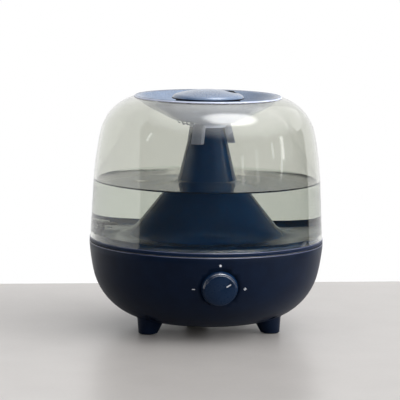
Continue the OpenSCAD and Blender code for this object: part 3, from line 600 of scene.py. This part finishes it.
class HUMIDIFIER_OT_stage(BuildOperator):
    """Camera, pale floor, white surround and a soft key light"""
    bl_idname = "humidifier.stage"
    bl_label = "Stage"

    def execute(self, context):
        stage = context.scene.humidifier_stage
        self.camera(stage)
        self.floor(stage)
        self.surround(context.scene)
        self.key_light()
        context.scene.view_settings.view_transform = "Standard"
        return {"FINISHED"}

    @staticmethod
    def camera(stage):
        """Camera on a circle about the axis, looking a little left of it, with a slight roll."""
        turn = stage.azimuth
        back = Vector((math.sin(turn), -math.cos(turn), 0))
        right = Vector((math.cos(turn), math.sin(turn), 0))
        place = back * stage.distance + Vector((0, 0, stage.height))
        target = Vector((0, 0, stage.aim)) - right * stage.aside
        lens = bpy.data.cameras.new("stage_camera")
        lens.lens = stage.focal
        lens.clip_start, lens.clip_end = 0.1, 50
        camera = bpy.data.objects.new("stage_camera", lens)
        aim = (target - place).to_track_quat("-Z", "Y").to_matrix().to_4x4()
        camera.matrix_world = Matrix.Translation(place) @ aim @ Matrix.Rotation(stage.roll, 4, "Z")
        bpy.context.scene.collection.objects.link(camera)
        bpy.context.scene.camera = camera

    @staticmethod
    def floor(stage):
        """Flat floor as deep as a table, so that the room in front of it stays dark in the clear tank:
        an outline of skirts, top and bevelled back edge, carried across."""
        front, back, bevel, skirt = -stage.floor_front, stage.floor_back, 4 * MM, 0.3
        edge = np.array([[front, -skirt], [front, 0], [back - bevel, 0], [back, -bevel], [back, -skirt]])
        points = np.array([[x, y, z] for y, z in edge for x in (-1.0, 1.0)])
        row = np.arange(len(edge) - 1)[:, None] * 2
        made = mesh_piece("stage_floor", points, row + np.array([[0, 1, 3, 2]]))
        sharp(made)
        colours = bpy.context.scene.humidifier_colours
        wear(made, pale_board(colours.floor, colours.floor_bounce))

    @staticmethod
    def surround(scene):
        """White to the camera. In reflections and through clear parts it is a studio: a white wall round
        the back, a room in front that is darker to the left, a pale ceiling, a light overhead, narrow
        window strips and one thin arc. Other surfaces are lit by a plain level that rises toward the
        right, and inside the tank that level is raised by what the tank's walls take away."""
        world = bpy.data.worlds.new("studio_surround")
        scene.world = world
        world.use_nodes = True
        tree = world.node_tree
        tree.nodes.clear()
        ray = put(tree, "ShaderNodeLightPath").outputs
        way = put(tree, "ShaderNodeTexCoord").outputs["Generated"]
        x, y, z = put(tree, "ShaderNodeSeparateXYZ", {"Vector": way}).outputs

        def joined(operation, first, *others):
            """Levels joined one after another by an operation, which a lone level goes through alone."""
            for other in others or (0.0,):
                first = put(tree, "ShaderNodeMath", {0: first, 1: other}, operation=operation).outputs[0]
            return first

        def step(value, low, high, top=1.0, bottom=0.0):
            """bottom below low, top above high, smooth between."""
            inputs = {"Value": value, "From Min": low, "From Max": high, "To Min": bottom, "To Max": top}
            return put(tree, "ShaderNodeMapRange", inputs, interpolation_type="SMOOTHSTEP").outputs[0]

        def turn_step(value, low, high, top=1.0, bottom=0.0):
            """A step of an angle whose limits are in degrees."""
            return step(value, math.radians(low), math.radians(high), top, bottom)

        def along(direction):
            """Cosine of the angle between the ray and a direction."""
            return put(tree, "ShaderNodeVectorMath", {0: way, 1: direction},
                       operation="DOT_PRODUCT").outputs["Value"]

        # Azimuth from the front and elevation of the ray
        turn = joined("ARCTAN2", x, joined("MULTIPLY", y, -1.0))
        rise = joined("ARCSINE", z)

        def strip(azimuth, lean, half, low, high, level):
            """Window strip whose sides fade over 0.8 degrees and whose ends fade over 2."""
            off = joined("SUBTRACT", turn, joined("MULTIPLY", rise, lean), math.radians(azimuth))
            across = turn_step(joined("ABSOLUTE", off), half + 0.8, half, level)
            return joined("MULTIPLY", across, turn_step(rise, low - 1, low + 1),
                          turn_step(rise, high + 1, high - 1))

        # White where two half spaces meet
        behind = joined("MINIMUM", along((-0.206, 0.887, -0.414)), along((-0.434, 0.864, -0.256)))
        wall = step(behind, 0, 0.04)
        # Dark at the left, paler between 40 and 93 degrees on the right, and dark low down
        room = joined("MULTIPLY", turn_step(turn, 20, 40, 0.4), turn_step(turn, 98, 93, 1.0, 0.2),
                      turn_step(rise, 2, 7))
        # Comes lower on the right
        ceiling = step(joined("ADD", z, joined("MULTIPLY", x, 0.25)), 0.4, 0.95, 2.3)
        overhead = step(along((0.262, -0.121, 0.957)), 0.91, 0.98, 9.0)
        # Rays that have crossed more than four skins see no windows, and nothing darker than 0.4
        shallow = joined("LESS_THAN", ray["Transmission Depth"], 4.5)
        windows = joined("MULTIPLY", joined("MAXIMUM", *(strip(*window) for window in WINDOWS)), shallow)
        deep = joined("MULTIPLY", joined("SUBTRACT", 1.0, shallow), 0.4)
        # Part of a circle round the object, for reflections only
        bow = joined("ABSOLUTE", joined("SUBTRACT", along((0.139, 0.813, -0.565)), 0.02))
        bow = joined("MULTIPLY", step(bow, 0.035, 0.02, 2.4), turn_step(turn, 98, 104),
                     turn_step(turn, 150, 142), ray["Is Glossy Ray"])
        # What shows straight through the tank is white
        through = joined("MULTIPLY", ray["Is Transmission Ray"],
                         joined("LESS_THAN", ray["Glossy Depth"], 0.5))
        view = joined("MAXIMUM", wall, room, 0.05, ceiling, overhead, windows, deep, bow, through)

        lit = joined("ADD", step(along((0.72, -0.40, 0.57)), -0.1, 0.9, 1.2, 0.22),
                     step(along((0.93, -0.34, 0.12)), 0.88, 0.97, 3.2))
        inside = joined("GREATER_THAN", ray["Transmission Depth"], 0.5)
        lit = joined("MULTIPLY", lit, joined("ADD", joined("MULTIPLY", inside, 0.95), 1.0))

        # A ray that has met a rough surface on its way sees the plain level
        seen = joined("MULTIPLY", joined("MAXIMUM", ray["Is Glossy Ray"], ray["Is Transmission Ray"]),
                      joined("LESS_THAN", ray["Diffuse Depth"], 0.5))
        light = put(tree, "ShaderNodeMix", {"Factor": seen, "A": lit, "B": view}).outputs[0]
        shown = joined("MAXIMUM", ray["Is Camera Ray"], light)
        light = put(tree, "ShaderNodeBackground", {"Color": (1, 1, 1, 1), "Strength": shown})
        put(tree, "ShaderNodeOutputWorld", {"Surface": light.outputs[0]})

    @staticmethod
    def key_light():
        """A soft key from the upper right, which lights surfaces and isn't seen in any."""
        place, target = Vector((2.3, -1.2, 2.2)), Vector((0, 0, 0.1))
        lamp = bpy.data.lights.new("key_softbox", "AREA")
        lamp.shape, lamp.size, lamp.energy = "SQUARE", 1.6, 14
        made = bpy.data.objects.new("key_softbox", lamp)
        made.visible_glossy = False
        made.visible_transmission = False
        aim = (target - place).to_track_quat("-Z", "Y").to_matrix().to_4x4()
        made.matrix_world = Matrix.Translation(place) @ aim
        bpy.context.scene.collection.objects.link(made)


class HUMIDIFIER_OT_bowl(BuildOperator):
    """Satin bowl with its printed marks, its pads and its round cover"""
    bl_idname = "humidifier.bowl"
    bl_label = "Bowl"

    def execute(self, context):
        finish = satin_abs("spark_eroded_abs_bowl", context.scene.humidifier_colours.bowl)
        bowl = smooth_copy("base_shell")
        fit_out(bowl, "base", "navy_bowl", finish, "base_shell")
        rim(bowl, "polished_abs_bowl_rim_painted_highlight", BOWL_HIGH.x, above=BOWL_HIGH.z - 2.5 * MM, width=0.9 * MM)
        self.marks(bowl, context.scene.humidifier_marks, screen_print("screen_print_bowl"))
        dress(moulded("black_abs_moulded", "17181c", 0.45), "bottom_cover")
        dress(moulded("soft_rubber_moulded", "1b1b1d", 0.75, 0.5, 0.02), "foot_pads")
        return {"FINISHED"}

    @staticmethod
    def marks(bowl, sizes, finish):
        """Minus and plus: closed prisms of ink on the plane that touches the bowl where a ray from the
        front meets it. The plus is star-shaped about its middle, so fans of triangles close it."""
        bpy.context.view_layer.update()
        axis = (KNOB_LOW.x + KNOB_HIGH.x) / 2
        long, thin = sizes.size / 2, sizes.stroke / 2
        minus = np.array([[long, thin], [-long, thin], [-long, -thin], [long, -thin]])
        arm = np.array([[thin, long], [-thin, long], [-thin, thin]])
        quarter = np.array([[0, 1], [-1, 0]])
        plus = np.vstack([arm, arm @ quarter, arm @ -np.eye(2), arm @ -quarter])
        for name, side, outline in (("bowl_minus", -1, minus), ("bowl_plus", 1, plus)):
            start = Vector((axis + side * sizes.reach, -0.3, sizes.height))
            found, place, normal, _ = bowl.ray_cast(start, (0, 1, 0))
            if not found:
                raise RuntimeError("No bowl behind " + name)
            up = (Vector((0, 0, 1)) - normal * normal.z).normalized()
            plane = np.array([up.cross(normal), up])
            skin = np.vstack([outline @ plane, [[0, 0, 0]]]) + np.array(place)
            count = len(outline)
            front, back = skin + np.array(normal) * sizes.film, skin - np.array(normal) * sizes.film
            ring = np.arange(count)
            after, lower = np.roll(ring, -1), count + 1
            middle = np.full(count, count)
            faces = np.concatenate([np.stack(each, -1) for each in (
                (middle, ring, after), (middle + lower, after + lower, ring + lower),
                (ring, ring + lower, after + lower), (ring, after + lower, after))])
            made = mesh_piece(name, np.vstack([front, back]), faces, smooth=False)
            fit_out(made, "base", "navy_bowl", finish)


class HUMIDIFIER_OT_works(BuildOperator):
    """Tray, mist maker, fan, board, inlet, float and screws inside the bowl"""
    bl_idname = "humidifier.works"
    bl_label = "Works"

    def execute(self, context):
        colours = context.scene.humidifier_colours
        dress(moulded("tray_pp_moulded", colours.tray, 0.5), "base_tray", "air_duct")
        dress(moulded("white_pom_moulded", "e4e4e2", 0.4), "float_body", "float_cap", "valve_stem",
              "valve_clip", "indicator_led")
        dress(moulded("black_pbt_moulded", "1c1d20", 0.5), "fan_frame", "fan_impeller", "power_jack",
              "board_parts", "float_magnet", "potentiometer")
        dress(moulded("seal_rubber_moulded", "19191b", 0.7, 0.5, 0.02), "transducer_seal", "valve_seal")
        dress(metal("zinc_plated_steel", "c6c8cc", 0.3, 0.5), "cover_screws", "tray_screws", "clamp_screws",
              "board_screws", "fan_screws", "jack_nut", "pot_nut", "pot_shaft")
        dress(metal("spring_wire_drawn", "b9bbbf", 0.25, 0.3, (1, 1, 6)), "valve_spring")
        dress(metal("die_cast_alloy", "a9abad", 0.5, 0.8), "transducer_clamp", "heat_sink")
        dress(metal("silvered_ceramic", "d8cfa8", 0.4, 0.4), "transducer_disc")
        dress(solder_mask(), "driver_board")
        dress(moulded("reed_glass_drawn", "bcd8c8", 0.15, 2, 0.002), "reed_switch")
        return {"FINISHED"}


class HUMIDIFIER_OT_tank(BuildOperator):
    """Clear tank, its floor with the tower, and the water"""
    bl_idname = "humidifier.tank"
    bl_label = "Tank"

    def execute(self, context):
        scene = context.scene
        colours = scene.humidifier_colours
        band = smooth_copy("tank_floor")
        fit_out(band, "tank", "navy_band", wet_abs(colours.band), "tank_floor")
        normal, _, radius = face_lists(band)
        second_material(band, satin_abs("spark_eroded_abs_band", shade(colours.bowl, 1.3)),
                        (radius > FLOOR_HIGH.x - 0.5 * MM) & (normal[:, 2] < 0.3))
        rim(band, "polished_abs_band_rim_painted_highlight", FLOOR_HIGH.x, above=FLOOR_LOW.z, width=0.45 * MM)
        self.tower_lip(polished_abs("gloss_navy_abs_lip", colours.band, 0.16))
        self.shell(scene.humidifier_tank, smoke_san(colours.smoke))
        self.water(scene.humidifier_tank, still_water(colours.water))
        return {"FINISHED"}

    @staticmethod
    def tower_lip(finish):
        """Thin lip that carries the tower's taper up to just under the film of water below the lid."""
        low, high = FLOOR_HIGH.z - 0.6 * MM, FILM_FOOT - 0.2 * MM
        outer = tower_outline(0)[-1][0]
        inner, top = outer - 1.4 * MM, outer - 0.2 * MM
        profile = np.array([[inner, low], [outer, low], [top, high], [inner, high]])
        made = turned("tank_tower_lip", profile, 128)
        sharp(made, 50)
        fit_out(made, "tank", "navy_band", finish)

    @staticmethod
    def shell(tank, finish):
        """Closed outline of the wall, outside up and inside down, cut upright at the mouth."""
        outside, inside = tank_outline(0), tank_outline(tank.wall)
        # The wall is welded to its floor, so its foot runs a little way into it and shows no gap
        weld, round_r = 0.3 * MM, 0.4 * MM
        outside[0, 1] -= weld
        inside[0, 1] -= weld
        top = outside[-1][1]
        mouth = np.array([[tank.mouth_radius + round_r, top], [tank.mouth_radius, top - round_r],
                          [tank.mouth_radius, inside[-1][1]]])
        profile = np.concatenate([outside, mouth, inside[::-1]])
        made = turned("clear_tank_shell", profile, 320)
        sharp(made, 40)
        fit_out(made, "tank", "clear_tank", finish, "tank_shell")

    @staticmethod
    def water(tank, finish):
        """Closed outline of the water: up the tank's wall, across the surface, whose climb falls off
        exponentially with the distance from either wall, and down the tower. It runs a little inside
        both walls, so that no air shows between."""
        level, bank = tank.water_level, 15 * MM
        wall = below(tank_outline(tank.wall - 0.15 * MM), level)
        tower = below(tower_outline(1 * MM), level)
        outer_r, inner_r, low = wall[-1][0], tower[-1][0], tower[0][1]
        # Close rows where the surface climbs, even rows between
        near = np.geomspace(0.01, 12, 14) * MM
        radii = np.concatenate([outer_r - near, np.linspace(outer_r - bank, inner_r + bank, 14),
                                inner_r + near[::-1]])
        climb = tank.meniscus * (np.exp((radii - outer_r) / tank.meniscus_reach)
                                 + np.exp((inner_r - radii) / tank.meniscus_reach))
        surface = np.stack([radii, level + climb], -1)
        # The lowest outer corner is bevelled
        cut = 0.5 * MM
        base = np.array([[wall[0][0] - cut, low]])
        profile = np.concatenate([base, wall[wall[:, 1] > low + cut], surface, tower[::-1]])
        made = turned("tank_water", profile, 320)
        sharp(made, 50)
        fit_out(made, "tank", "clear_tank", finish)


class HUMIDIFIER_OT_lid(BuildOperator):
    """Dished lid with its dew, films and drops of water, and the mist cap"""
    bl_idname = "humidifier.lid"
    bl_label = "Lid"

    def execute(self, context):
        colours, mist = context.scene.humidifier_colours, context.scene.humidifier_mist
        finish = satin_blue_abs(colours.lid)
        dew = dewy_abs("dew_on_blue_abs", colours.dew)
        # Painted shade: this dark navy stands in for the shadow under the cap and inside the mist opening
        painted_shade = polished_abs("navy_abs_painted_shade", colours.covered, 0.45, 0.1)
        dish = smooth_copy("lid_dish")
        fit_out(dish, "lid", "navy_lid", finish, "lid_dish")
        # The second dew, darkened to 0.7, is painted shade on the lugs
        self.dew(dish, dew, dewy_abs("dew_on_blue_abs_painted_shade", shade(colours.dew, 0.7)), painted_shade)
        self.films(dew)
        self.drops(clear_bead())
        cap = smooth_copy("mist_cap")
        fit_out(cap, "cap", "navy_lid", finish, "mist_cap")
        self.shaded(cap, mist, painted_shade)
        self.nozzle_lip(mist, finish, painted_shade)
        # The cap's core wears the painted shade too
        dress(painted_shade, "cap_core")
        return {"FINISHED"}

    @staticmethod
    def dew(dish, finish, thin, painted_shade):
        """Dew on the faces that look down into the tank and on the lip's edge, a copy of the dew darkened
        as painted shade on the lugs, and dark navy as painted shade where the cap covers the dish."""
        normal, middle, radius = face_lists(dish)
        up, height = normal[:, 2], middle[:, 2]
        lugs, shaded_dew_below, covered = LID_LOW.z + 17 * MM, LID_LOW.z + 21.5 * MM, LID_LOW.z + 26.5 * MM
        inside = (height < LID_HIGH.z - 5 * MM) & (up < 0.3) | (height < lugs) | (up < -0.2)
        edge = (radius > LID_HIGH.x - 0.6 * MM) & (up < 0.5)
        second_material(dish, finish, inside | edge)
        # Painted shade: the dew darkened to 0.7 on the lugs and the faces below them
        second_material(dish, thin, height < shaded_dew_below)
        second_material(dish, painted_shade, (height > covered) & (radius < CAP_HIGH.x - 1 * MM))

    @staticmethod
    def films(finish):
        """Films of water: one rounds the corner between the dish and the tower by two Bezier curves
        carried round the axis, and one rounds the lid's lip."""
        under_dish, corner, foot = (52.4, 212.9), (28, 200.5), (17.5, FILM_FOOT / MM)
        outer = np.vstack([bezier(under_dish, (44, 208.2), (36, 203.1), corner, 16)[:-1],
                           bezier(corner, (22, 198.6), (17.9, 198.8), foot, 14)])
        inner = np.array([[16.9, foot[1]], [16.9, 199.6], [20.5, 201.2], [28, 202.4], [44, 210.0]])
        lip = np.array([[69.3, 223.3], [70.6, 223.15], [71.0, 223.3], [70.8, 223.7], [70.2, 224.2],
                        [69.6, 224.4]])
        for name, profile in (("lid_water_film", np.vstack([outer, inner])), ("lid_lip_film", lip)):
            made = turned(name, profile * MM, 256)
            sharp(made, 50)
            fit_out(made, "lid", "navy_lid", finish)

    @staticmethod
    def drops(finish):
        """Drops that hang from the film under the dish, whose underside rises 0.4 mm for each mm outward:
        spheres drawn out downward, (r cos v, r sin v times 1.15 below the middle and 0.8 above it)."""
        # Name, azimuth in degrees, distance from the axis and radius in millimetres
        for name, turn, reach, size in (("drop_a", -151.5, 33, 1.5), ("drop_b", -142.5, 31.5, 1.9),
                                        ("drop_c", -135, 30.5, 1.8), ("drop_d", -123, 29.5, 1.3)):
            turn = math.radians(turn)
            under = 200.95 + (reach - 29.5) * 0.4
            place = Vector((reach * math.cos(turn), reach * math.sin(turn), under - 0.5 * size))
            rise = np.linspace(-np.pi / 2, np.pi / 2, 14)
            profile = np.stack([np.cos(rise), np.sin(rise) * np.where(rise < 0, 1.15, 0.8)], -1) * size * MM
            # Keeps the poles' faces a micron wide, so that none has no area
            profile[[0, -1], 0] = 1e-6
            made = turned("lid_" + name, profile, 24)
            made.data.transform(Matrix.Translation(place * MM))
            fit_out(made, "lid", "navy_lid", finish)

    @staticmethod
    def shaded(cap, mist, finish):
        """Second material, a dark navy of painted shade, on the cap's rolled edge, on its inside and in the
        mist opening, whose outline is the set of points at one distance from a short line."""
        normal, middle, radius = face_lists(cap)
        out = middle[:, 0] * math.cos(mist.turn) + middle[:, 1] * math.sin(mist.turn) - mist.reach
        side = middle[:, 1] * math.cos(mist.turn) - middle[:, 0] * math.sin(mist.turn)
        opening = np.hypot(out, np.maximum(np.abs(side) - mist.half_line, 0)) < mist.radius
        edge = (radius > CAP_HIGH.x - 3.5 * MM) & (normal[:, 2] < 0.45)
        second_material(cap, finish, opening | edge | (normal[:, 2] < -0.05))

    @staticmethod
    def nozzle_lip(mist, finish, painted_shade):
        """Low lip behind the mist opening, round one end of its line: half a ring of upright walls,
        whose top is as high as its ends plus the rise times the sine of the angle."""
        sweep = np.radians(np.linspace(-8, 188, 33))
        reach = mist.radius - np.array([mist.lip_wall, mist.lip_wall, 0, 0])
        out = mist.reach + reach * np.cos(sweep)[:, None]
        side = mist.half_line + reach * np.sin(sweep)[:, None]
        top = (mist.lip_high + mist.lip_rise * np.sin(sweep))[:, None]
        height = np.where([False, True, True, False], top, mist.lip_low)
        turn = np.array([[math.cos(mist.turn), math.sin(mist.turn)],
                         [-math.sin(mist.turn), math.cos(mist.turn)]])
        level = np.stack([out, side], -1) @ turn
        points = np.concatenate([level, height[..., None]], -1).reshape(-1, 3)
        row = np.arange(len(sweep) - 1)[:, None, None] * 4
        corner = np.arange(4)[:, None]
        after = (corner + 1) % 4
        sides = row + np.concatenate([corner, corner + 4, after + 4, after], 1)
        last = len(points) - 4
        ends = np.array([[0, 1, 2, 3], [last + 3, last + 2, last + 1, last]])
        made = mesh_piece("cap_nozzle_lip", points, np.vstack([sides.reshape(-1, 4), ends]))
        outward(made)
        sharp(made, 40)
        fit_out(made, "cap", "navy_lid", finish)
        # The wall toward the opening gets the dark navy of painted shade
        normal, middle, _ = face_lists(made)
        inward = np.array([mist.reach, mist.half_line]) @ turn - middle[:, :2]
        second_material(made, painted_shade, (normal[:, :2] * inward).sum(1) > 1 * MM)


class HUMIDIFIER_OT_knob(BuildOperator):
    """Knob, its pointer and the indicator's lens"""
    bl_idname = "humidifier.knob"
    bl_label = "Knob"

    def execute(self, context):
        colour = context.scene.humidifier_colours.knob
        knob = smooth_copy("control_knob")
        face = polished_abs("gloss_navy_abs_knob", colour, 0.3, 0.15)
        fit_out(knob, "knob", "navy_lid", face, "control_knob")
        # The upper half of the edge, whose faces don't look to the front, gets a painted highlight: the
        # knob's navy lightened by 1.2 and a far stronger gloss
        normal = face_lists(knob)[0]
        second_material(knob, polished_abs("polished_abs_knob_edge_painted_highlight", shade(colour, 1.2), 0.12, 1.0, 1.9),
                        (np.abs(normal[:, 1]) < 0.93) & (normal[:, 2] > 0.05))
        dress(screen_print("screen_print_knob"), "knob_pointer", "indicator_lens")
        return {"FINISHED"}


class HumidifierPanel(bpy.types.Panel):
    """Sizes, colours and build buttons of the humidifier"""
    bl_idname = "HUMIDIFIER_PT_build"
    bl_label = "Cool Mist Humidifier"
    bl_space_type = "VIEW_3D"
    bl_region_type = "UI"
    bl_category = "Humidifier"

    def draw(self, context):
        for group in GROUPS:
            box = self.layout.box()
            values = getattr(context.scene, group)
            for key in values.__annotations__:
                box.prop(values, key)
        for operator in OPERATORS:
            self.layout.operator(operator.bl_idname)


GROUPS = {
    "humidifier_tank": HumidifierTank,
    "humidifier_marks": HumidifierMarks,
    "humidifier_mist": HumidifierMist,
    "humidifier_colours": HumidifierColours,
    "humidifier_stage": HumidifierStage,
}
OPERATORS = (HUMIDIFIER_OT_stage, HUMIDIFIER_OT_bowl, HUMIDIFIER_OT_works, HUMIDIFIER_OT_tank,
             HUMIDIFIER_OT_lid, HUMIDIFIER_OT_knob)


def register():
    for kind in (*GROUPS.values(), *OPERATORS, HumidifierPanel):
        bpy.utils.register_class(kind)
    for name, kind in GROUPS.items():
        setattr(bpy.types.Scene, name, bpy.props.PointerProperty(type=kind))


def unregister():
    for name in GROUPS:
        delattr(bpy.types.Scene, name)
    for kind in reversed((*GROUPS.values(), *OPERATORS, HumidifierPanel)):
        bpy.utils.unregister_class(kind)


def main():
    """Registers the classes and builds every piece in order."""
    register()
    bpy.ops.humidifier.stage()
    bpy.ops.humidifier.bowl()
    bpy.ops.humidifier.works()
    bpy.ops.humidifier.tank()
    bpy.ops.humidifier.lid()
    bpy.ops.humidifier.knob()


if __name__ == "__main__":
    main()
